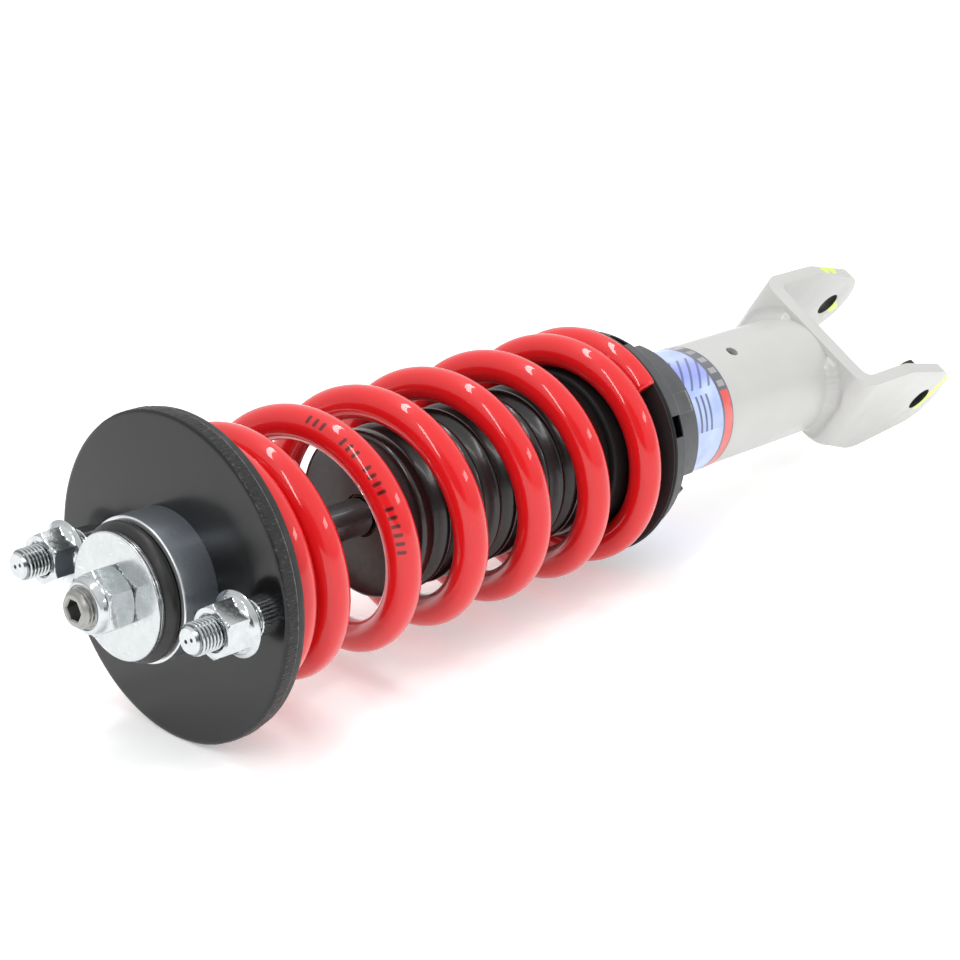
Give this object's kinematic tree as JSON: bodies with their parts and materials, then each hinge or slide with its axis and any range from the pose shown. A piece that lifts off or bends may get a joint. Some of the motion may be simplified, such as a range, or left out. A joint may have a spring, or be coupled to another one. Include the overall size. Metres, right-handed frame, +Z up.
{
  "type": "coilover suspension strut",
  "caption": "Coil spring over a telescopic damper with a studded top plate, a threaded seat whose collars set the height, and a two-eared fork for one cross bolt.",
  "frame": {"origin": "centre of the top plate's outer face, on the damper's axis, midway between the two mounting studs", "axes": "+X runs along the damper from the top plate to the lower fork, +Z is up and the studs stand along Y; the strut lies on its side as stored"},
  "size_m": [0.4296, 0.1034, 0.1034],
  "materials": {
    "plate_black": "satin",
    "isolator_rubber": "matte",
    "zinc_plate": "satin",
    "bush_rubber": "matte",
    "bare_steel": "satin",
    "nylon": "matte",
    "hard_chrome": "polished",
    "bump_foam": "matte",
    "sintered_iron": "matte",
    "ptfe_bronze": "matte",
    "spring_red": "gloss",
    "boot_black": "gloss",
    "slip_black": "matte",
    "seat_black": "satin",
    "collar_grey": "satin",
    "seal_rubber": "matte",
    "aluminium_guide": "satin",
    "bush_bronze": "satin",
    "tube_steel": "satin",
    "thread_grey": "satin",
    "body_silver": "satin",
    "label_film": "gloss",
    "fork_silver": "satin",
    "weld_silver": "satin",
    "dark_nut": "satin"
  },
  "bodies": {
    "top_mount": {"top_plate": "plate_black", "spring_isolator": "isolator_rubber", "bush_housing": "zinc_plate", "rubber_bush": "bush_rubber", "bush_spacer": "bare_steel", "backing_washer": "zinc_plate", "top_washer": "zinc_plate", "lower_washer": "zinc_plate", "rod_nut": "zinc_plate", "nut_insert_ring": "nylon", "mount_studs": "zinc_plate", "stud_flange_nuts": "zinc_plate", "piston_rod": "hard_chrome", "bump_stop": "bump_foam", "rebound_stop": "sintered_iron", "piston": "sintered_iron", "piston_ring": "ptfe_bronze", "piston_nut": "bare_steel", "coil_spring": "spring_red"},
    "spring_foot": {"slip_washer": "slip_black"},
    "lower_seat": {"spring_seat": "seat_black", "dust_boot": "boot_black"},
    "collars": {"adjuster_collar": "collar_grey", "lock_ring": "collar_grey"},
    "damper_body": {"gland_nut": "tube_steel", "rod_seal": "seal_rubber", "rod_guide": "aluminium_guide", "guide_bush": "bush_bronze", "damper_tube": "tube_steel", "pressure_tube": "tube_steel", "base_valve": "sintered_iron", "end_plug": "tube_steel", "threaded_sleeve": "thread_grey", "bracket_tube": "body_silver", "label_band": "label_film", "fork_bracket": "fork_silver", "weld_bead": "weld_silver", "captive_nut": "dark_nut"}
  },
  "joints": [
    {"name": "damper_stroke", "type": "slide", "parent": "top_mount", "child": "spring_foot", "axis": [-1, 0, 0], "range_m": [0, 0.065], "stiffness_N_per_m": 78400, "deforming": ["coil_spring"]},
    {"name": "body_swivel", "type": "hinge", "parent": "spring_foot", "child": "lower_seat", "pos_m": [0.192, 0, 0], "axis": [1, 0, 0], "continuous": true},
    {"name": "collar_spin", "type": "hinge", "parent": "lower_seat", "child": "collars", "pos_m": [0.2, 0, 0], "axis": [1, 0, 0], "range_deg": [-1800, 0]},
    {"name": "height_adjust", "type": "slide", "parent": "lower_seat", "child": "damper_body", "axis": [1, 0, 0], "range_m": [0, 0.01]}
  ],
  "couplings": [
    {"joint": "height_adjust", "follows": "collar_spin", "m_per_rad": -0.00031831}
  ]
}
